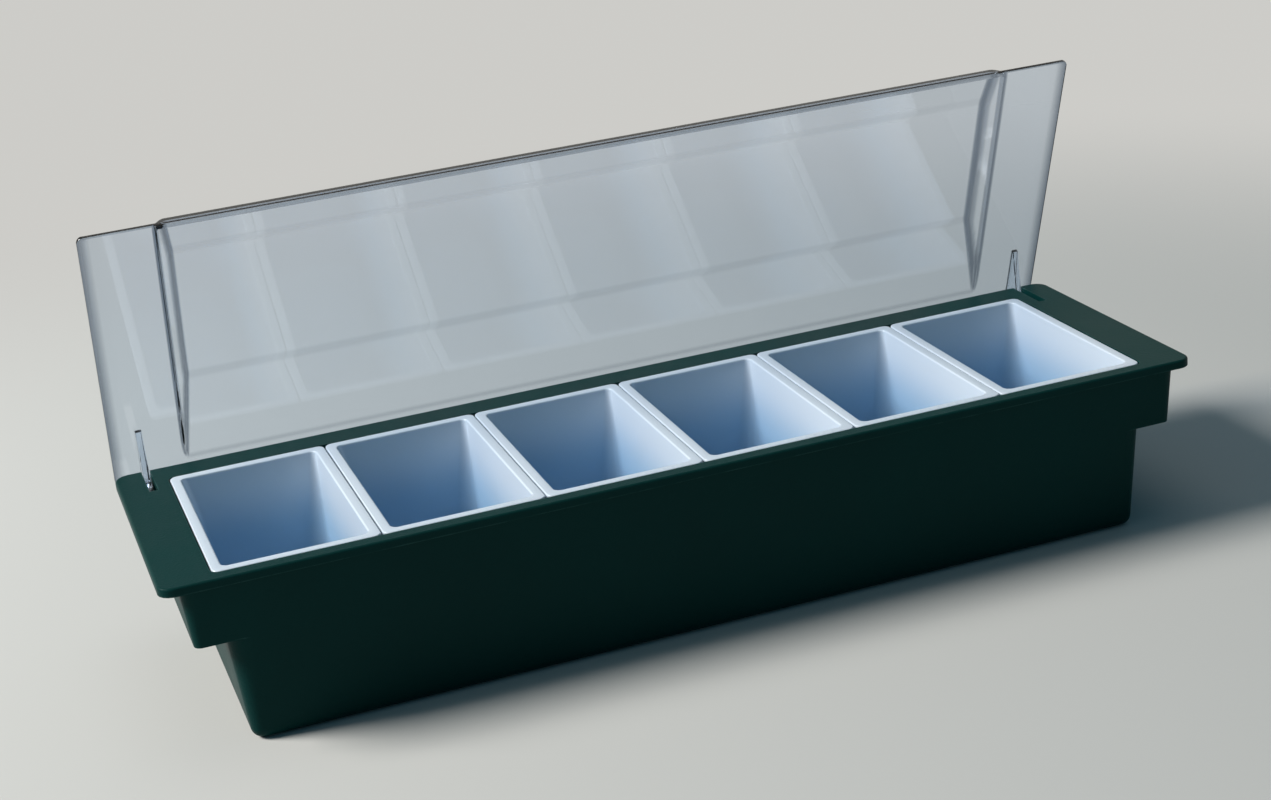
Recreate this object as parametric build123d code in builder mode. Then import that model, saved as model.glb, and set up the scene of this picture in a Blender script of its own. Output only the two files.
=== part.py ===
from build123d import *
import os
from math import atan2, cos, radians, sin, tan

# Garnish tray for a bar: a long moulded tub with six lift-out compartments and a clear
# hinged lid that stands open. Millimetres. The origin is the middle of the tub's underside,
# +X runs along the tray to the right, +Y runs to the hinge at the back, +Z is up.

# Tub
tray_length = 490
tray_depth = 146
tray_height = 82
rim_thickness = 4
rim_end_overhang = 8.5
rim_side_overhang = 1.5
rim_corner_radius = 7
rim_edge_radius = 1.2
wall = 2.5
wall_draft = 5
grip_drop = 31
grip_corner_radius = 6
tub_corner_radius = 12
tub_foot_radius = 5
floor_radius = 3
overrun = 1

# Row of compartments
compartment_count = 6
end_margin = 23.5
front_margin = 7.5
back_margin = 16.5
row_gap = 0.6
seat_clearance = 0.4
seat_lift = 0.3
seat_recess = 2.2
opening_clearance = 0.6
cavity_clearance = 0.8

# One compartment
flange_width = 3
flange_thickness = 2
flange_corner_radius = 3.5
flange_edge_radius = 0.6
compartment_wall = 1.8
compartment_side_taper = 5.5
compartment_front_taper = 8.1
compartment_top_radius = 5
compartment_foot_radius = 14
compartment_base_radius = 6
foot_gap = 0.5

# Hinge
axis_drop = 9.4
pin_radius = 1.5
pin_blind_floor = 1.2
pin_recess = 0.4
pin_chamfer = 0.3
running_clearance = 0.06
arm_inset = 15
arm_thickness = 3
arm_side_clearance = 0.5
arm_eye_radius = 4.2
arm_length = 28
arm_tip_height = 1.6
slot_end_gap = 1
slot_floor_drop = 6.3
lug_reach = 6.5
lug_floor = 2
lug_cheek = 4
lug_root = 7
lug_edge_radius = 3

# Lid
open_angle = 70
lid_gap = 0.6
lid_thickness = 2
lid_end_inset = 1
lid_front_inset = 6.5
lid_heel = 3
lid_corner_radius = 3
panel_rise = 8
panel_end_margin = 35
panel_end_slope = 6
panel_back_inset = 6
panel_fold_inset = 48
panel_front_inset = 0.8
panel_front_slope = 1.5
panel_foot_radius = 5
panel_top_radius = 9
bevel_width = 18
bevel_angle = 8

# Worked out from the sizes above
half_length = tray_length / 2
half_depth = tray_depth / 2
under_rim = tray_height - rim_thickness
grip_foot = tray_height - grip_drop
shrink = tan(radians(wall_draft))

row_length = tray_length - 2 * end_margin
pitch = row_length / compartment_count
row_depth = tray_depth - front_margin - back_margin
row_middle = (front_margin - back_margin) / 2
compartment_length = pitch - row_gap
body_length = compartment_length - 2 * flange_width
body_depth = row_depth - 2 * flange_width
row_body_length = row_length - row_gap - 2 * flange_width

foot_level = wall + foot_gap
row_foot_length = row_body_length - 2 * compartment_side_taper
seat_level = tray_height - seat_recess
flange_level = seat_level + seat_lift
flange_top = flange_level + flange_thickness

box_length = tray_length - 2 * rim_end_overhang
box_depth = tray_depth - 2 * rim_side_overhang
cavity_depth = box_depth - 2 * wall
cavity_widening = (under_rim - foot_level) * shrink
cavity_length = row_foot_length + 2 * (cavity_clearance + cavity_widening)
tub_length = cavity_length + 2 * wall

axis_y = half_depth
axis_z = tray_height - axis_drop
arm_middle = half_length - arm_inset
slot_width = arm_thickness + 2 * arm_side_clearance
lug_inner = arm_middle - slot_width / 2 - lug_cheek
lug_height = axis_drop + slot_floor_drop + lug_floor - rim_thickness
lug_outer = box_length / 2 - lug_height * shrink
pin_inner = lug_inner + pin_blind_floor
sheet_level = axis_drop + lid_gap
sheet_top = sheet_level + lid_thickness
sheet_front = axis_y + half_depth - lid_front_inset

os.makedirs("parts", exist_ok=True)


def drafted_box(length, depth, radius, top, bottom):
    """Solid with rounded upright corners that narrows from its top level to its bottom one."""
    with BuildPart() as box:
        with BuildSketch(Plane.XY.offset(top)):
            RectangleRounded(length, depth, radius)
        extrude(amount=bottom - top, taper=wall_draft)
    return box.part


def hinge_lug(side):
    """Block under the rim that carries one hinge pin, before its slot is cut."""
    foot = axis_z - slot_floor_drop - lug_floor
    with BuildPart() as lug:
        with BuildSketch(Plane.YZ.offset(side * lug_inner)):
            with BuildLine():
                Polyline(
                    (axis_y - lug_root, under_rim),
                    (axis_y - lug_root, foot),
                    (axis_y + lug_reach, foot),
                    (axis_y + lug_reach, under_rim),
                    close=True,
                )
            make_face()
        extrude(amount=side * (lug_outer - lug_inner))
        fillet(lug.edges().filter_by(Axis.X).sort_by(Axis.Y)[-2:], radius=lug_edge_radius)
    return lug.part


# The tub: one moulding with a hollow grip under each end of its rim.
box_outside = drafted_box(box_length, box_depth, grip_corner_radius, under_rim, grip_foot)
box_inside = drafted_box(
    box_length - 2 * wall, box_depth - 2 * wall, grip_corner_radius - wall, under_rim, grip_foot
)
tub_outside = drafted_box(tub_length, box_depth, tub_corner_radius, under_rim, 0)
tub_inside = drafted_box(
    cavity_length, cavity_depth, tub_corner_radius - wall, under_rim, wall
)
tub_outside = fillet(tub_outside.faces().sort_by(Axis.Z)[0].edges(), radius=tub_foot_radius)
tub_inside = fillet(tub_inside.faces().sort_by(Axis.Z)[0].edges(), radius=floor_radius)

with BuildPart() as tray_body:
    add(box_outside)
    add(box_inside, mode=Mode.SUBTRACT)
    add(tub_outside)
    add(tub_inside, mode=Mode.SUBTRACT)
    with BuildSketch(Plane.XY.offset(under_rim)):
        RectangleRounded(tray_length, tray_depth, rim_corner_radius)
    extrude(amount=rim_thickness)
    rim_top_edges = tray_body.faces().sort_by(Axis.Z)[-1].outer_wire().edges()
    fillet(rim_top_edges, radius=rim_edge_radius)
    for side in (-1, 1):
        add(hinge_lug(side))
    # Opening in the rim and the seat that the compartments' flanges lie in
    with BuildSketch(Plane.XY.offset(under_rim)):
        with Locations((0, row_middle)):
            RectangleRounded(
                row_body_length + 2 * opening_clearance,
                body_depth + 2 * opening_clearance,
                compartment_top_radius,
            )
    extrude(amount=rim_thickness, mode=Mode.SUBTRACT)
    with BuildSketch(Plane.XY.offset(seat_level)):
        with Locations((0, row_middle)):
            RectangleRounded(
                row_length + 2 * seat_clearance,
                row_depth + 2 * seat_clearance,
                flange_corner_radius + seat_clearance,
            )
    extrude(amount=seat_recess, mode=Mode.SUBTRACT)
    # Slots for the lid's arms, open at the top and at the back
    slot_front = axis_y - arm_length - slot_end_gap
    slot_back = axis_y + lug_reach + overrun
    with BuildSketch(Plane.XY.offset(axis_z - slot_floor_drop)):
        with Locations(*[(side * arm_middle, (slot_front + slot_back) / 2) for side in (-1, 1)]):
            Rectangle(slot_width, slot_back - slot_front)
    extrude(amount=slot_floor_drop + axis_drop, mode=Mode.SUBTRACT)
    # Holes for the hinge pins, bored from the ends and blind in the inner cheek
    for side in (-1, 1):
        with BuildSketch(Plane.YZ.offset(side * pin_inner)):
            with Locations((axis_y, axis_z)):
                Circle(pin_radius)
        extrude(amount=side * (half_length - pin_inner), mode=Mode.SUBTRACT)

tray_body.part.label = "tray_body"
export_step(tray_body.part, "parts/tray_body.step")


def compartment(number):
    """Lift-out compartment, counted from the left end of the row."""
    middle = (number - (compartment_count + 1) / 2) * pitch
    with BuildPart() as piece:
        with BuildSketch(Plane((middle, row_middle, flange_level))):
            RectangleRounded(body_length, body_depth, compartment_top_radius)
        with BuildSketch(Plane((middle, row_middle, foot_level))):
            RectangleRounded(
                body_length - 2 * compartment_side_taper,
                body_depth - 2 * compartment_front_taper,
                compartment_foot_radius,
            )
        loft(ruled=True)
        fillet(piece.faces().sort_by(Axis.Z)[0].edges(), radius=compartment_base_radius)
        with BuildSketch(Plane((middle, row_middle, flange_level))):
            RectangleRounded(compartment_length, row_depth, flange_corner_radius)
        extrude(amount=flange_thickness)
        lip = piece.faces().sort_by(Axis.Z)[-1].edges()
        fillet(lip, radius=flange_edge_radius)
    with BuildPart() as hollow:
        with BuildSketch(Plane((middle, row_middle, flange_top))):
            RectangleRounded(
                body_length - 2 * compartment_wall,
                body_depth - 2 * compartment_wall,
                compartment_top_radius - compartment_wall,
            )
        with BuildSketch(Plane((middle, row_middle, foot_level + compartment_wall))):
            RectangleRounded(
                body_length - 2 * compartment_side_taper - 2 * compartment_wall,
                body_depth - 2 * compartment_front_taper - 2 * compartment_wall,
                compartment_foot_radius - compartment_wall,
            )
        loft(ruled=True)
        fillet(hollow.faces().sort_by(Axis.Z)[0].edges(), radius=compartment_base_radius)
    with BuildPart() as finished:
        add(piece.part)
        add(hollow.part, mode=Mode.SUBTRACT)
    return finished


for number in range(1, compartment_count + 1):
    lift_out_box = compartment(number)
    lift_out_box.part.label = f"compartment_{number}"
    export_step(lift_out_box.part, f"parts/compartment_{number}.step")


def lid_normal(angle):
    """Direction that faces out of the top of a sheet opened by this angle."""
    return (0, sin(radians(angle)), cos(radians(angle)))


# The lid is drawn on its own level, which turns about the hinge axis: there y runs from the
# front edge to the hinge and z is the side that is on top when the lid is shut.
lid_level = Plane(origin=(0, axis_y, axis_z), x_dir=(1, 0, 0), z_dir=lid_normal(open_angle))


def wall_inset(thickness, slope_run):
    """How far a sloped wall moves in when its block sinks by the sheet's thickness."""
    return thickness * tan(atan2(panel_rise, slope_run) / 2)


def raised_panel(thickness):
    """Raised middle of the lid as a block, set in on every side by a wall's thickness."""
    back_slope = panel_fold_inset - panel_back_inset
    half_foot = half_length - panel_end_margin - wall_inset(thickness, panel_end_slope)
    front = panel_front_inset + wall_inset(thickness, panel_front_slope) - sheet_front
    back = -panel_back_inset - wall_inset(thickness, back_slope)
    top_front = front + panel_front_slope
    top_back = back - back_slope
    panel_foot = sheet_top - thickness
    with BuildPart() as panel:
        with BuildSketch(lid_level.offset(panel_foot)):
            with Locations((0, (front + back) / 2)):
                RectangleRounded(2 * half_foot, back - front, panel_foot_radius)
        with BuildSketch(lid_level.offset(panel_foot + panel_rise)):
            with Locations((0, (top_front + top_back) / 2)):
                RectangleRounded(
                    2 * (half_foot - panel_end_slope), top_back - top_front, panel_top_radius
                )
        loft(ruled=True)
        bevel = Plane(
            origin=lid_level.from_local_coords(
                Vector(0, top_front + bevel_width, panel_foot + panel_rise)
            ),
            x_dir=(1, 0, 0),
            z_dir=lid_normal(open_angle - bevel_angle),
        )
        split(bisect_by=bevel, keep=Keep.BOTTOM)
    return panel.part


def lid_arm(side):
    """Web under the lid's end that widens into an eye for the hinge pin."""
    arm_plane = Plane(
        origin=lid_level.from_local_coords(
            Vector(side * arm_middle - arm_thickness / 2, 0, 0)
        ),
        x_dir=lid_level.y_dir,
        z_dir=(1, 0, 0),
    )
    with BuildPart() as arm:
        with BuildSketch(arm_plane):
            Circle(arm_eye_radius)
            with Locations(
                ((lid_heel - arm_length) / 2, sheet_top - (lid_thickness + arm_tip_height) / 2)
            ):
                Rectangle(lid_heel + arm_length, lid_thickness / 2 + arm_tip_height)
            make_hull()
        extrude(amount=arm_thickness)
    return arm.part


with BuildPart() as lid:
    with BuildSketch(lid_level.offset(sheet_level)):
        with Locations((0, (lid_heel - sheet_front) / 2)):
            RectangleRounded(
                2 * (half_length - lid_end_inset), lid_heel + sheet_front, lid_corner_radius
            )
    extrude(amount=lid_thickness)
    add(raised_panel(0))
    add(raised_panel(lid_thickness), mode=Mode.SUBTRACT)
    for side in (-1, 1):
        add(lid_arm(side))
    with BuildSketch(Plane.YZ.offset(-half_length)):
        with Locations((axis_y, axis_z)):
            Circle(pin_radius + running_clearance)
    extrude(amount=tray_length, mode=Mode.SUBTRACT)

lid.part.label = "lid"
export_step(lid.part, "parts/lid.step")

# Steel pins, pressed into the lugs from the tub's ends through the eyes of the lid's arms
for side, name in ((-1, "hinge_pin_left"), (1, "hinge_pin_right")):
    with BuildPart() as hinge_pin:
        with BuildSketch(Plane.YZ.offset(side * pin_inner)):
            with Locations((axis_y, axis_z)):
                Circle(pin_radius)
        extrude(amount=side * (lug_outer - pin_recess - pin_inner))
        chamfer(hinge_pin.edges(), length=pin_chamfer)
    hinge_pin.part.label = name
    export_step(hinge_pin.part, f"parts/{name}.step")
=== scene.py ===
from math import atan2, cos, pi, radians, sin, tan

import bpy
import numpy as np
from mathutils import Matrix, Vector


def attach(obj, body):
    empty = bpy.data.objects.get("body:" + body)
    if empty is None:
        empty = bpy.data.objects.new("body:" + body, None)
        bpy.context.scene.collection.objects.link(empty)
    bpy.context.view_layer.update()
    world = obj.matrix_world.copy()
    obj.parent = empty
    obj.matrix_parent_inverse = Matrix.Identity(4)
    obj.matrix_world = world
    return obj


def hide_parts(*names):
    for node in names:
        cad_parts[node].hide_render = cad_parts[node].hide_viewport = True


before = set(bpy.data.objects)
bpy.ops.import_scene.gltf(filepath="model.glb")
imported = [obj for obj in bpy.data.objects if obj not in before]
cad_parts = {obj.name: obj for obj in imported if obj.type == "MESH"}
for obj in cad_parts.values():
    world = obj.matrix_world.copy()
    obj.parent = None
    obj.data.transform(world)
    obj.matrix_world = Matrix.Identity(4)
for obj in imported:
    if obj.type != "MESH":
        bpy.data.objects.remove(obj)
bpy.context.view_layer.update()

# Tub: one injection moulding in very dark green-black ABS, with a fine spark-eroded grain and
# lightly rubbed edges. It carries everything else and stands on its own flat underside.

mm = 0.001
tub_colour = (0.0012, 0.0240, 0.0225, 1)
tub_high_spot = (0.0024, 0.0360, 0.0335, 1)
tub_worn_edge = (0.0200, 0.0700, 0.0650, 1)
wear_width = 1.2 * mm
worn_likeness, patch_ends, patch_wear = (0.995, 0.90), (0.42, 0.62), (0.15, 1.0)
gloss_wave_ends = (0.3, 0.7)
smoothest, dullest, rub_polish = 0.85, 1.2, 0.35


def add_node(tree, kind, options=None, sockets=None):
    """Adds one shader node; a socket's value is set, or linked where it is another's output."""
    node = tree.nodes.new(kind)
    for name, value in (options or {}).items():
        setattr(node, name, value)
    for name, value in (sockets or {}).items():
        if isinstance(value, bpy.types.NodeSocket):
            tree.links.new(value, node.inputs[name])
        else:
            node.inputs[name].default_value = value
    return node


def noise(tree, place, scale, detail, roughness=0.5, distortion=0.0):
    """Smooth noise over a place, from 0 to 1 and about a half on average."""
    return add_node(
        tree, "ShaderNodeTexNoise", None,
        {"Vector": place, "Scale": scale, "Detail": detail, "Roughness": roughness,
         "Distortion": distortion},
    ).outputs["Fac"]


def remap(tree, value, old_ends=(0.0, 1.0), new_ends=(0.0, 1.0), interpolation="LINEAR"):
    """Value carried over from between the old ends to between the new ones, and held at both."""
    return add_node(
        tree, "ShaderNodeMapRange", {"interpolation_type": interpolation},
        {"Value": value, "From Min": old_ends[0], "From Max": old_ends[1],
         "To Min": new_ends[0], "To Max": new_ends[1]},
    ).outputs["Result"]


def calculate(tree, operation, *values):
    """Result of one maths node, which takes the values in their order."""
    node = add_node(tree, "ShaderNodeMath", {"operation": operation}, dict(enumerate(values)))
    return node.outputs[0]


def mix_colours(tree, share, first, second):
    """First colour where share is 0 and second where it is 1; they are the node's 6 and 7."""
    node = add_node(
        tree, "ShaderNodeMix", {"data_type": "RGBA"}, {0: share, 6: first, 7: second}
    )
    return node.outputs[2]


def bumped(tree, height, distance):
    """Normal bent by a height of which 1 stands for this distance."""
    return add_node(
        tree, "ShaderNodeBump", None, {"Height": height, "Distance": distance}
    ).outputs["Normal"]


def node_group(name, inputs, outputs):
    """Empty shader node group with float or vector inputs and outputs, and its two end nodes."""
    group = bpy.data.node_groups.new(name, "ShaderNodeTree")
    for label, kind in inputs:
        group.interface.new_socket(name=label, in_out="INPUT", socket_type=kind)
    for label, kind in outputs:
        group.interface.new_socket(name=label, in_out="OUTPUT", socket_type=kind)
    return group, group.nodes.new("NodeGroupInput"), group.nodes.new("NodeGroupOutput")


def build_mould_grain():
    """Spark-eroded mould texture: small cells broken up by noise, with slower waves of gloss.

    The height is half the distance to the nearest cell's middle, plus the noise.
    """
    group, given, made = node_group(
        "mould_grain",
        [("Vector", "NodeSocketVector"), ("Grain Scale", "NodeSocketFloat")],
        [("Height", "NodeSocketFloat"), ("Gloss Wave", "NodeSocketFloat")],
    )
    place, scale = given.outputs["Vector"], given.outputs["Grain Scale"]
    cells = add_node(
        group, "ShaderNodeTexVoronoi", {"feature": "SMOOTH_F1"},
        {"Vector": place, "Scale": scale, "Smoothness": 0.6},
    )
    fuzz = noise(group, place, scale, detail=4.0, roughness=0.6)
    wave = noise(group, place, scale=9.0, detail=3.0, roughness=0.55, distortion=0.4)
    height = calculate(group, "MULTIPLY_ADD", cells.outputs["Distance"], 0.5, fuzz)
    group.links.new(height, made.inputs["Height"])
    group.links.new(wave, made.inputs["Gloss Wave"])
    return group


def build_edge_wear():
    """Rubbed edges: how far a rounded normal leaves the true one, broken up by noise."""
    group, given, made = node_group(
        "edge_wear",
        [("Vector", "NodeSocketVector"), ("Width", "NodeSocketFloat")],
        [("Mask", "NodeSocketFloat")],
    )
    rounded = add_node(
        group, "ShaderNodeBevel", {"samples": 6}, {"Radius": given.outputs["Width"]}
    )
    true_side = add_node(group, "ShaderNodeNewGeometry")
    likeness = add_node(
        group, "ShaderNodeVectorMath", {"operation": "DOT_PRODUCT"},
        {0: rounded.outputs["Normal"], 1: true_side.outputs["Normal"]},
    )
    edge = remap(group, likeness.outputs["Value"], worn_likeness)
    patches = noise(group, given.outputs["Vector"], scale=60.0, detail=5.0, roughness=0.65)
    broken = remap(group, patches, patch_ends, patch_wear)
    group.links.new(calculate(group, "MULTIPLY", edge, broken), made.inputs["Mask"])
    return group


mould_grain = build_mould_grain()
edge_wear = build_edge_wear()


def new_material(name):
    """New material, its node tree and the tree's Principled shader."""
    material = bpy.data.materials.new(name)
    material.use_nodes = True
    tree = material.node_tree
    return material, tree, tree.nodes["Principled BSDF"]


def finish_surface(tree, shader, colour, roughness, normal):
    """Links the three things that change over a surface to its shader."""
    tree.links.new(colour, shader.inputs["Base Color"])
    tree.links.new(roughness, shader.inputs["Roughness"])
    tree.links.new(normal, shader.inputs["Normal"])


def moulded_plastic(name, colour, high_spot, worn, roughness, grain_scale, grain_depth, shine):
    """Opaque moulded plastic with grain in its bump, slow waves of gloss and rubbed edges.

    The waves take the roughness from its smoothest to its dullest share, and rubbing takes off
    the polish's share of it.
    """
    material, tree, shader = new_material(name)
    place = add_node(tree, "ShaderNodeTexCoord").outputs["Object"]
    grain = add_node(
        tree, "ShaderNodeGroup", {"node_tree": mould_grain},
        {"Vector": place, "Grain Scale": grain_scale},
    ).outputs
    rubbed = add_node(
        tree, "ShaderNodeGroup", {"node_tree": edge_wear}, {"Vector": place, "Width": wear_width}
    ).outputs["Mask"]
    mottled = mix_colours(tree, grain["Gloss Wave"], colour, high_spot)
    gloss = remap(
        tree, grain["Gloss Wave"], gloss_wave_ends,
        (roughness * smoothest, roughness * dullest),
    )
    finish_surface(
        tree, shader,
        mix_colours(tree, rubbed, mottled, worn),
        calculate(tree, "MULTIPLY_ADD", rubbed, -roughness * rub_polish, gloss),
        bumped(tree, grain["Height"], grain_depth),
    )
    shader.inputs["IOR"].default_value = 1.52
    shader.inputs["Specular IOR Level"].default_value = shine
    return material


def give_material(piece, material):
    """Puts one material on a piece, in place of any that it came with."""
    piece.data.materials.clear()
    piece.data.materials.append(material)


tub_plastic = moulded_plastic(
    "black_abs", tub_colour, tub_high_spot, tub_worn_edge,
    roughness=0.40, grain_scale=1000.0, grain_depth=0.100 * mm, shine=0.045,
)
give_material(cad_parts["tray_body"], tub_plastic)

# Hinge pins: two short lengths of drawn stainless wire with broken ends, pressed into the tub's
# back lugs through the eyes of the lid's arms.

pin_colour = (0.56, 0.57, 0.58, 1)
pin_shadow = (0.34, 0.35, 0.37, 1)
pin_roughness = (0.22, 0.42)
draw_line_scale, draw_line_depth = (60.0, 4000.0, 4000.0), 0.020 * mm


def drawn_out_noise(tree, place, scale, detail, turn=(0.0, 0.0, 0.0)):
    """Noise drawn out into lines: its place is scaled along each axis by itself, then turned."""
    mapped = add_node(
        tree, "ShaderNodeMapping", None, {"Vector": place, "Scale": scale, "Rotation": turn}
    )
    return noise(tree, mapped.outputs["Vector"], scale=1.0, detail=detail)


def drawn_wire(name):
    """Steel with fine draw lines along X, as noise stretched in that direction."""
    material, tree, shader = new_material(name)
    place = add_node(tree, "ShaderNodeTexCoord").outputs["Object"]
    lines = drawn_out_noise(tree, place, draw_line_scale, detail=3.0)
    finish_surface(
        tree, shader,
        mix_colours(tree, lines, pin_shadow, pin_colour),
        remap(tree, lines, new_ends=pin_roughness),
        bumped(tree, lines, draw_line_depth),
    )
    shader.inputs["Metallic"].default_value = 1.0
    return material


pin_steel = drawn_wire("pin_steel")
for pin_name in ("hinge_pin_left", "hinge_pin_right"):
    give_material(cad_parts[pin_name], pin_steel)

# Compartments: six alike lift-out boxes, thin glossy white mouldings. Each hangs by the flat
# flange round its mouth in the tub's seat, and narrows to a rounded foot.

box_count = 6
row_pitch, row_middle = 443 * mm / box_count, -4.5 * mm
box_top_radius, box_foot_radius, box_base_radius = 5 * mm, 14 * mm, 6 * mm
box_wall = 1.8 * mm
box_foot, flange_level, flange_top = 3 * mm, 80.1 * mm, 82.1 * mm
body_half_x, body_half_y = 33.6167 * mm, 58 * mm
foot_half_x, foot_half_y = 28.1167 * mm, 49.9 * mm
flange_half_x, flange_half_y, flange_corner = 36.6167 * mm, 61 * mm, 3.5 * mm
flange_edge, flange_under_edge, lip_radius = 0.6 * mm, 0.12 * mm, 0.9 * mm
corner_steps, base_steps, wall_steps, edge_steps, lip_steps = 12, 8, 10, 5, 6
box_colour, box_high_spot = (0.620, 0.700, 0.785, 1), (0.655, 0.730, 0.810, 1)
# Painted shade: the boxes' inner walls darken towards the last colour below, between the two levels
# after it.
box_worn_edge, box_painted_shade = (0.72, 0.79, 0.85, 1), (0.30, 0.47, 0.645, 1)
shade_top, shade_bottom = 79 * mm, 46 * mm


def new_object(name, data):
    """New object of the scene with this mesh, lamp or camera."""
    thing = bpy.data.objects.new(name, data)
    bpy.context.scene.collection.objects.link(thing)
    return thing


def closed_mesh(name, points, quads, ends=(), crease_angle=32):
    """Mesh object of quads and end faces, all turned round where their volume is negative.

    The volume's sign is that of the summed triple products of the triangles into which each
    face fans out from its first corner.
    """
    fans = [quads[:, [0, 1, 2]], quads[:, [0, 2, 3]]]
    fans += [np.stack([np.full(len(end) - 2, end[0]), end[1:-1], end[2:]], axis=-1) for end in ends]
    a, b, c = (points[corners] for corners in np.concatenate(fans).T)
    if np.einsum("ij,ij->i", a, np.cross(b, c)).sum() < 0:
        quads, ends = quads[:, ::-1], [end[::-1] for end in ends]
    faces = quads.tolist() + [end.tolist() for end in ends]
    mesh = bpy.data.meshes.new(name)
    mesh.from_pydata(points.tolist(), [], faces)
    mesh.polygons.foreach_set("use_smooth", np.ones(len(faces), bool))
    mesh.set_sharp_from_angle(angle=radians(crease_angle))
    mesh.update()
    return new_object(name, mesh)


def rounded_rings(stations, middle_x, middle_y):
    """Rounded rectangles stacked into rings, one per station (half x, half y, corner radius, z).

    A ring's point is its corner arc's centre, which lies a radius in from both sides, plus the
    radius along the arc's angle; the four arcs run through a quarter turn each.
    """
    half_x, half_y, radius, level = (column[:, None] for column in stations.T)
    quarter = np.arange(4).repeat(corner_steps + 1)
    angle = (quarter + np.tile(np.linspace(0, 1, corner_steps + 1), 4)) * pi / 2
    side_x = np.where((quarter == 0) | (quarter == 3), 1, -1)
    side_y = np.where(quarter < 2, 1, -1)
    x = middle_x + side_x * (half_x - radius) + radius * np.cos(angle)
    y = middle_y + side_y * (half_y - radius) + radius * np.sin(angle)
    return np.stack([x, y, np.broadcast_to(level, x.shape)], axis=-1)


def ring_quads(rows, around):
    """Quads between each closed ring of points and the next, as four point numbers each."""
    index = np.arange(rows * around).reshape(rows, around)
    turned = np.roll(index, -1, axis=1)
    return np.stack([index[:-1], turned[:-1], turned[1:], index[1:]], axis=-1).reshape(-1, 4)


def wall_stations(foot, top):
    """Upward run of stations: a rounded base, then a straight tapering wall.

    foot and top are (half x, half y, corner radius, z); round the base each of the first three
    is the wall's less the base radius times one minus the sine of the turn.
    """
    foot, top = np.array(foot), np.array(top)
    start = foot + (top - foot) * box_base_radius / (top[3] - foot[3])
    turn = np.linspace(0, pi / 2, base_steps + 1)[:, None]
    base = np.hstack([
        start[:3] - box_base_radius * (1 - np.sin(turn)),
        foot[3] + box_base_radius * (1 - np.cos(turn)),
    ])
    share = np.linspace(0, 1, wall_steps + 1)[1:, None]
    return np.vstack([base, start + (top - start) * share])


def compartment_stations():
    """Stations up the outside, round the flange, over the lip and down the inside.

    The flange's upper edge and the lip are quarter circles: over a turn, the sizes change by
    the radius times one minus its cosine, and the level by the radius times one minus its
    sine.
    """
    outside = wall_stations(
        (foot_half_x, foot_half_y, box_foot_radius, box_foot),
        (body_half_x, body_half_y, box_top_radius, flange_level),
    )
    under_edge = [
        (flange_half_x - flange_under_edge, flange_half_y - flange_under_edge,
         flange_corner, flange_level),
        (flange_half_x, flange_half_y, flange_corner, flange_level + flange_under_edge),
    ]
    turn = np.linspace(0, pi / 2, edge_steps + 1)[:, None]
    upper_edge = np.hstack([
        (flange_half_x, flange_half_y, flange_corner) - flange_edge * (1 - np.cos(turn)),
        flange_top - flange_edge * (1 - np.sin(turn)),
    ])
    mouth = np.array([
        body_half_x - box_wall, body_half_y - box_wall, box_top_radius - box_wall, flange_top
    ])
    turn = np.linspace(pi / 2, 0, lip_steps + 1)[:, None]
    lip = np.hstack([
        mouth[:3] + lip_radius * (1 - np.cos(turn)), mouth[3] - lip_radius * (1 - np.sin(turn))
    ])
    inside = wall_stations(
        (foot_half_x - box_wall, foot_half_y - box_wall,
         box_foot_radius - box_wall, box_foot + box_wall),
        mouth - [0, 0, 0, lip_radius],
    )
    return np.vstack([outside, under_edge, upper_edge, lip, inside[-2::-1]])


def inner_shade_depth(stations, top, bottom):
    """How deep inside each station is: 0 outside and down to top, 1 from bottom on, else between.

    The inside begins after the highest stations, where the lip turns over into the mouth.
    """
    level = stations[:, 3]
    inside = np.arange(len(level)) > level.argmax()
    return np.where(inside, np.clip((top - level) / (top - bottom), 0, 1), 0)


def give_attribute(piece, name, values):
    """Gives a piece one number for each of its points, which its material can read."""
    piece.data.attributes.new(name, "FLOAT", "POINT").data.foreach_set("value", values)


def paint_inner_shade(material, shade_colour):
    """Painted shade: the inner walls' colour deepens downwards towards the shade colour."""
    tree = material.node_tree
    base_colour = tree.nodes["Principled BSDF"].inputs["Base Color"]
    surface = base_colour.links[0].from_socket
    given = add_node(tree, "ShaderNodeAttribute", {"attribute_name": "inner_shade_depth"})
    depth = remap(tree, given.outputs["Fac"], interpolation="SMOOTHSTEP")
    tree.links.new(mix_colours(tree, depth, surface, shade_colour), base_colour)


white_gloss = moulded_plastic(
    "white_abs", box_colour, box_high_spot, box_worn_edge,
    roughness=0.20, grain_scale=350.0, grain_depth=0.012 * mm, shine=0.5,
)
# Painted shade: inside the boxes the white darkens towards the bottom.
paint_inner_shade(white_gloss, box_painted_shade)
box_stations = compartment_stations()
box_shade_depth = inner_shade_depth(box_stations, shade_top, shade_bottom)
for number in range(1, box_count + 1):
    rings = rounded_rings(box_stations, (number - (box_count + 1) / 2) * row_pitch, row_middle)
    rows, around = rings.shape[:2]
    under = np.arange(around)[::-1]
    floor = np.arange(around) + (rows - 1) * around
    box = closed_mesh(
        f"garnish_box_{number}", rings.reshape(-1, 3), ring_quads(rows, around), [under, floor]
    )
    give_attribute(box, "inner_shade_depth", box_shade_depth.repeat(around))
    give_material(box, white_gloss)
    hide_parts(f"compartment_{number}")
    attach(box, f"compartment_{number}")

# Lid: one clear sheet, formed with a raised middle that slopes down to the hinge side, a bevel
# along its front edge and flat flanges at both ends. It stands open on the hinge.

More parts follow.
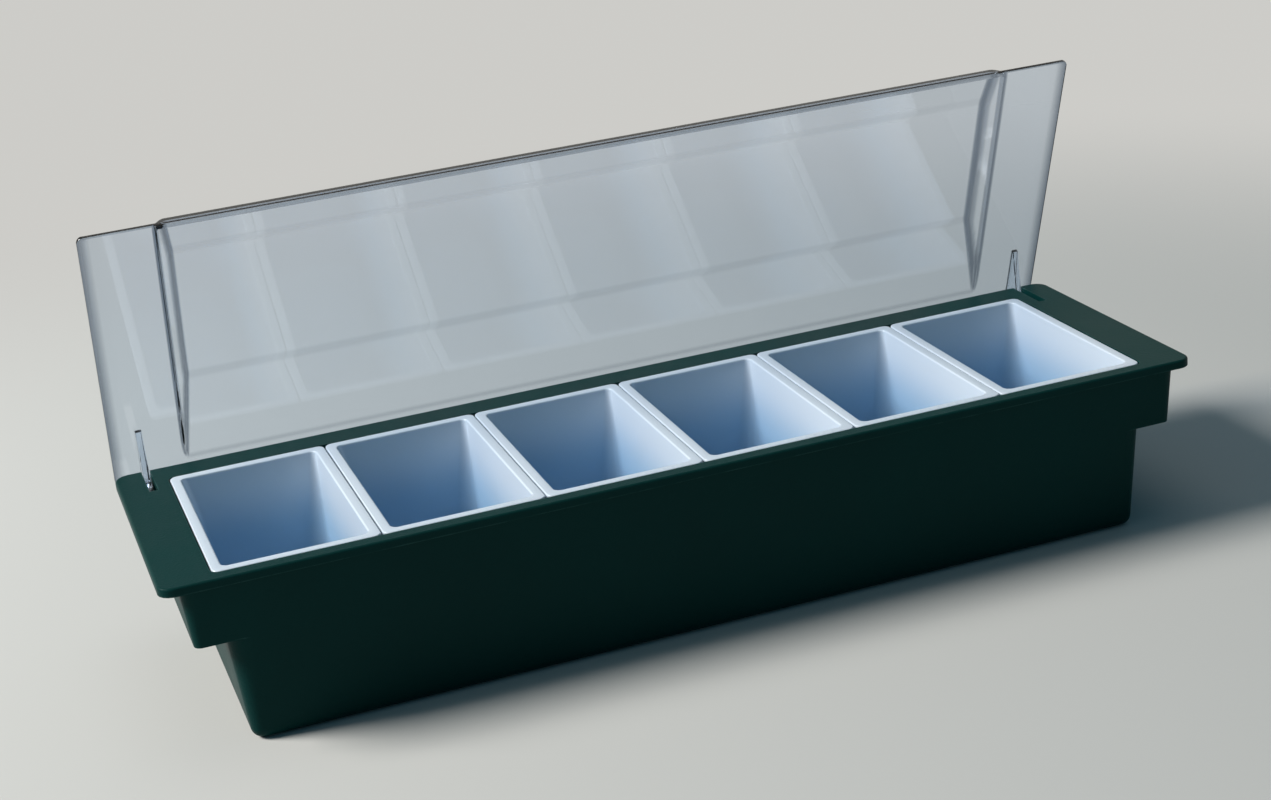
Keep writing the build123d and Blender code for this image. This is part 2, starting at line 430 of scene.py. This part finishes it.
open_angle = radians(70)
hinge_line = np.array((0, 73 * mm, 72.6 * mm))
toward_hinge = np.array((0, cos(open_angle), -sin(open_angle)))
out_of_top = np.array((0, sin(open_angle), cos(open_angle)))
sheet_under, sheet_over = 10 * mm, 12 * mm
sheet_half_x, sheet_heel, sheet_front = 244 * mm, 3 * mm, -139.5 * mm
sheet_corner, sheet_edge = 3 * mm, 0.5 * mm
panel_rise = 8 * mm
panel_half_x, panel_end_run = 210 * mm, 6 * mm
panel_back, panel_back_run = -6 * mm, 42 * mm
panel_front, panel_front_run = -138.7 * mm, 1.5 * mm
bevel_width, bevel_slope = 18 * mm, tan(radians(8))
bevel_back = panel_front + panel_front_run + bevel_width
panel_fold = panel_back - panel_back_run
bevel_ease, fold_ease, wall_ease = 0.3 * mm, 0.4 * mm, 2.2 * mm
fold_margin = 3 * mm
half_steps = (24, 26, 6, 4)
length_steps = (22, 6, 16, 12, 18, 8, 8, 4, 4)
full_bend = 0.30 / mm
lid_tint, lid_pale_tint = (0.74, 0.82, 0.915, 1), (0.79, 0.86, 0.945, 1)
# Painted shade: the fold colour darkens the sheet along its bends, as dark fold lines.
fold_painted_shade, shadow_tint = (0.26, 0.31, 0.38, 1), (0.90, 0.92, 0.95, 1)
smear_ends, haze_ends = (0.35, 0.75), (0.015, 0.06)
scratch_scale, scratch_turn = (25.0, 900.0, 900.0), (0.3, 0.2, 0.5)
scratch_depth = 0.004 * mm


def on_lid(x, along, above):
    """Points of the open lid: across, along the sheet towards the hinge, and above its axis."""
    points = np.stack([x, 0 * x, 0 * x], axis=-1)
    points += along[..., None] * toward_hinge + above[..., None] * out_of_top
    return points + hinge_line


def soft_min(a, b, blend):
    """Smaller of two heights, eased by up to a quarter of blend where they cross."""
    near = np.maximum(blend - np.abs(a - b), 0) / blend
    return np.minimum(a, b) - near * near * blend / 4


def panel_height(x, along, depth):
    """Raised panel's height over its foot when every wall moves in by a share of the depth.

    Four ramps rise from the foot's four sides and a flat plane and a shallow bevel cap them;
    the height is the soft minimum of all of them, and never under zero.
    """
    def moved_in(run):
        return depth * tan(atan2(panel_rise, run) / 2)

    ends = (panel_half_x - moved_in(panel_end_run) - np.abs(x)) * panel_rise / panel_end_run
    back = (panel_back - moved_in(panel_back_run) - along) * panel_rise / panel_back_run
    front_foot = panel_front + moved_in(panel_front_run)
    front = (along - front_foot) * panel_rise / panel_front_run
    bevel = panel_rise + (along - front_foot - panel_front_run - bevel_width) * bevel_slope
    top = soft_min(bevel, np.full_like(x, panel_rise), bevel_ease)
    top = soft_min(top, back, fold_ease)
    top = soft_min(top, front, wall_ease)
    top = soft_min(top, ends, wall_ease)
    return np.maximum(top, 0)


def spaced(stops, steps):
    """Grid values through all the stops, with this many even steps from each to the next."""
    runs = [np.linspace(a, b, n, endpoint=False) for a, b, n in zip(stops, stops[1:], steps)]
    return np.append(np.concatenate(runs), stops[-1])


def lid_sheet():
    """Closed sheet: an upper and a lower height field on one grid, joined round the border.

    Round the four corners the rows end on a quarter circle, and near the border each face eases
    towards the other along a second one. The third result tells how sharply each point is bent:
    the height's second slopes along and across, added up, as a share of a full bend.
    """
    half = spaced(
        (0, panel_half_x - panel_end_run - fold_margin, panel_half_x + fold_margin,
         sheet_half_x - sheet_edge, sheet_half_x),
        half_steps,
    )
    across = np.concatenate([-half[:0:-1], half])
    length = spaced(
        (sheet_front, panel_front + panel_front_run + fold_margin,
         bevel_back - fold_margin, bevel_back + fold_margin,
         panel_fold - fold_margin, panel_fold + fold_margin,
         panel_back - fold_margin, panel_back + fold_margin,
         sheet_heel - sheet_edge, sheet_heel),
        length_steps,
    )
    along, u = np.meshgrid(length, across, indexing="ij")
    from_end = np.minimum(along - sheet_front, sheet_heel - along)
    corner = np.maximum(sheet_corner - from_end, 0)
    row_half = sheet_half_x - sheet_corner + np.sqrt(sheet_corner ** 2 - corner ** 2)
    x = u * row_half / sheet_half_x
    inset = np.clip(np.minimum(row_half - np.abs(x), from_end), 0, sheet_edge)
    eased = sheet_edge - np.sqrt(sheet_edge ** 2 - (sheet_edge - inset) ** 2)
    over = sheet_over + panel_height(x, along, 0.0) - eased
    under = sheet_under + panel_height(x, along, sheet_over - sheet_under) + eased
    points = np.concatenate([
        on_lid(x, along, over).reshape(-1, 3), on_lid(x, along, under).reshape(-1, 3)
    ])
    index = np.arange(x.size).reshape(x.shape)
    top = np.stack([index[:-1, :-1], index[:-1, 1:], index[1:, 1:], index[1:, :-1]], axis=-1)
    top = top.reshape(-1, 4)
    border = np.concatenate([
        index[0, :-1], index[:-1, -1], index[-1, :0:-1], index[:0:-1, 0]
    ])
    onward = np.roll(border, -1)
    wall = np.stack([border, border + x.size, onward + x.size, onward], axis=-1)
    quads = np.concatenate([top, top[:, ::-1] + x.size, wall])
    across_bend = np.gradient(np.gradient(over, across, axis=1), across, axis=1)
    along_bend = np.gradient(np.gradient(over, length, axis=0), length, axis=0)
    bend = np.clip((np.abs(across_bend) + np.abs(along_bend)) / full_bend, 0, 1)
    return points, quads, np.tile(bend.ravel(), 2)


def show_mix(tree, output, share, first, second):
    """Shows the first shader where share is 0 and the second where it is 1."""
    mix = add_node(
        tree, "ShaderNodeMixShader", None,
        {0: share, 1: first.outputs[0], 2: second.outputs[0]},
    )
    tree.links.new(mix.outputs[0], tree.nodes[output].inputs["Surface"])


def clear_plastic(name):
    """Clear sheet: tinted refraction, painted shade at bends, faint rubbed haze, light let through
    for shadows.
    """
    material, tree, shader = new_material(name)
    place = add_node(tree, "ShaderNodeTexCoord").outputs["Object"]
    smear = noise(tree, place, scale=14.0, detail=5.0, roughness=0.6, distortion=0.5)
    scratches = drawn_out_noise(tree, place, scratch_scale, detail=2.0, turn=scratch_turn)
    flat_tint = mix_colours(tree, smear, lid_tint, lid_pale_tint)
    bend = add_node(tree, "ShaderNodeAttribute", {"attribute_name": "bend"}).outputs["Fac"]
    # Painted shade: the tint darkens towards the fold colour where the sheet bends.
    finish_surface(
        tree, shader,
        mix_colours(tree, bend, flat_tint, fold_painted_shade),
        remap(tree, smear, smear_ends, haze_ends),
        bumped(tree, scratches, scratch_depth),
    )
    shader.inputs["Transmission Weight"].default_value = 1.0
    shader.inputs["IOR"].default_value = 1.50
    rays = add_node(tree, "ShaderNodeLightPath").outputs
    indirect = calculate(tree, "MAXIMUM", rays["Is Shadow Ray"], rays["Is Diffuse Ray"])
    let_through = add_node(tree, "ShaderNodeBsdfTransparent", None, {"Color": shadow_tint})
    show_mix(tree, "Material Output", indirect, shader, let_through)
    return material


lid_clear = clear_plastic("clear_lid")
lid_points, lid_quads, lid_bend = lid_sheet()
lid_shell = closed_mesh("lid_sheet", lid_points, lid_quads, crease_angle=50)
give_attribute(lid_shell, "bend", lid_bend)
give_material(lid_shell, lid_clear)
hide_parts("lid")
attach(lid_shell, "lid")

# Lid arms: two webs moulded under the lid's ends, each widening into an eye for a hinge pin.
# They reach down through the slots of the rim.

arm_middle, arm_half_width = 230 * mm, 1.5 * mm
eye_radius, eye_hole = 4.2 * mm, 1.56 * mm
arm_tip, arm_tip_under, arm_root = -28 * mm, 8.4 * mm, 10.4 * mm
arm_edge = 0.35 * mm
eye_steps = 40


def circle(radius, turn):
    """Points of a circle round the axis: the radius times the turn's cosine and sine."""
    return np.stack([np.cos(turn), np.sin(turn)], axis=-1) * radius


def touching_turns(along, above):
    """Turns at which lines from this point touch the eye's rim, before and after the point's.

    They lie off the point's own turn by the arc cosine of the eye's radius over its distance.
    """
    own, off = atan2(above, along), np.arccos(eye_radius / np.hypot(along, above))
    return own - off, own + off


def arm_outline():
    """Arm's outline round the axis: the eye's far arc, then straight to the heel and the tip."""
    start = touching_turns(arm_tip, arm_tip_under)[1]
    stop = touching_turns(sheet_heel, arm_root)[0] + 2 * pi
    arc = circle(eye_radius, np.linspace(start, stop, eye_steps))
    rest = [(sheet_heel, arm_root), (arm_tip, arm_root), (arm_tip, arm_tip_under)]
    return np.vstack([arc, rest])


def arm_mesh(side):
    """Web with bevelled edges: the outline drawn in at both faces, and a round hole through it.

    Its rings go over the outline from one face to the other and back through the hole, and the
    last joins the first. A point of the hole has the turn of the outline's point.
    """
    outline = arm_outline()
    run = np.roll(outline, -1, axis=0) - np.roll(outline, 1, axis=0)
    inward = np.stack([-run[:, 1], run[:, 0]], axis=-1)
    inward /= np.linalg.norm(inward, axis=1)[:, None]
    drawn_in = outline + inward * arm_edge
    turn = np.arctan2(outline[:, 1], outline[:, 0])
    hole, flared = circle(eye_hole, turn), circle(eye_hole + arm_edge, turn)
    face, inner = arm_half_width, arm_half_width - arm_edge
    rings = [
        (drawn_in, -face), (outline, -inner), (outline, inner), (drawn_in, face),
        (flared, face), (hole, inner), (hole, -inner), (flared, -face),
    ]
    points = np.concatenate([
        on_lid(np.full(len(ring), side * arm_middle + x), ring[:, 0], ring[:, 1])
        for ring, x in rings
    ])
    return points, ring_quads(len(rings) + 1, len(outline)) % len(points)


for side, arm_name in ((-1, "lid_arm_left"), (1, "lid_arm_right")):
    arm = closed_mesh(arm_name, *arm_mesh(side))
    give_material(arm, lid_clear)
    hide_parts("lid")
    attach(arm, "lid")

# Studio: a pale warm-grey table top that runs into a backdrop of the same tone, one large soft
# lamp from the left, above and a little behind, a weak fill, and the camera at the
# photograph's viewing angle.

table_colour = (0.60, 0.59, 0.56, 1)
backdrop_colour = (0.610, 0.605, 0.580, 1)
table_reach, table_level = 12.0, -0.2 * mm
shadow_reach, open_reach = 0.42, 0.95
room_colour, room_strength = (0.16, 0.54, 0.80, 1), 0.15
tray_middle = Vector((0, 0, 50 * mm))
view_azimuth, view_elevation, view_roll = radians(-17.5), radians(20.0), radians(-6.0)
view_distance, view_lens, sensor_width = 1.07, 64.0, 36.0
aim_point = Vector((-0.005, 0.012, 0.088))


def backdrop_rays(tree):
    """One for rays that come from the camera, from a gloss or through the clear lid."""
    rays = add_node(tree, "ShaderNodeLightPath").outputs
    straight = calculate(tree, "MAXIMUM", rays["Is Camera Ray"], rays["Is Transmission Ray"])
    return calculate(tree, "MAXIMUM", straight, rays["Is Glossy Ray"])


table_mesh = bpy.data.meshes.new("table_top")
table_mesh.from_pydata(
    [(x * table_reach, y * table_reach, table_level)
     for x, y in ((-1, -1), (1, -1), (1, 1), (-1, 1))],
    [], [(0, 1, 2, 3)],
)
table_top = new_object("table_top", table_mesh)
table_paint, table_tree, table_shader = new_material("table_paint")
table_shader.inputs["Base Color"].default_value = table_colour
table_shader.inputs["Roughness"].default_value = 0.85
table_shader.inputs["Specular IOR Level"].default_value = 0.15
table_place = add_node(table_tree, "ShaderNodeTexCoord").outputs["Object"]
away = add_node(table_tree, "ShaderNodeVectorMath", {"operation": "LENGTH"}, {0: table_place})
open_table = remap(
    table_tree, away.outputs["Value"], (shadow_reach, open_reach), interpolation="SMOOTHSTEP"
)
plain_share = calculate(table_tree, "MULTIPLY", open_table, backdrop_rays(table_tree))
plain_tone = add_node(table_tree, "ShaderNodeEmission", None, {"Color": backdrop_colour})
show_mix(table_tree, "Material Output", plain_share, table_shader, plain_tone)
give_material(table_top, table_paint)

world = bpy.data.worlds.new("surround")
bpy.context.scene.world = world
world.use_nodes = True
sky = world.node_tree
room = sky.nodes["Background"]
room.inputs["Color"].default_value = room_colour
room.inputs["Strength"].default_value = room_strength
backdrop = add_node(sky, "ShaderNodeBackground", None, {"Color": backdrop_colour})
show_mix(sky, "World Output", backdrop_rays(sky), room, backdrop)


def soft_lamp(name, place, size, watts, colour):
    """Square area lamp that faces the middle of the tray."""
    lamp = bpy.data.lights.new(name, "AREA")
    lamp.size, lamp.energy, lamp.color = size, watts, colour
    holder = new_object(name, lamp)
    holder.location = place
    holder.rotation_mode = "QUATERNION"
    holder.rotation_quaternion = (tray_middle - Vector(place)).to_track_quat("-Z", "Y")


soft_lamp("lamp_left", (-2.45, 0.52, 2.00), size=1.1, watts=136, colour=(1.0, 0.985, 0.96))
soft_lamp("lamp_top", (0.10, 0.20, 2.20), size=1.4, watts=4, colour=(1.0, 0.99, 0.97))

toward_camera = Vector((
    sin(view_azimuth) * cos(view_elevation), -cos(view_azimuth) * cos(view_elevation),
    sin(view_elevation),
))
camera_data = bpy.data.cameras.new("camera")
camera_data.lens, camera_data.sensor_width = view_lens, sensor_width
camera = new_object("camera", camera_data)
camera.rotation_mode = "QUATERNION"
upright = (-toward_camera).to_track_quat("-Z", "Y")
camera.rotation_quaternion = upright @ Matrix.Rotation(view_roll, 4, "Z").to_quaternion()
camera.location = aim_point + toward_camera * view_distance
bpy.context.scene.camera = camera
bpy.context.scene.view_settings.view_transform = "Standard"
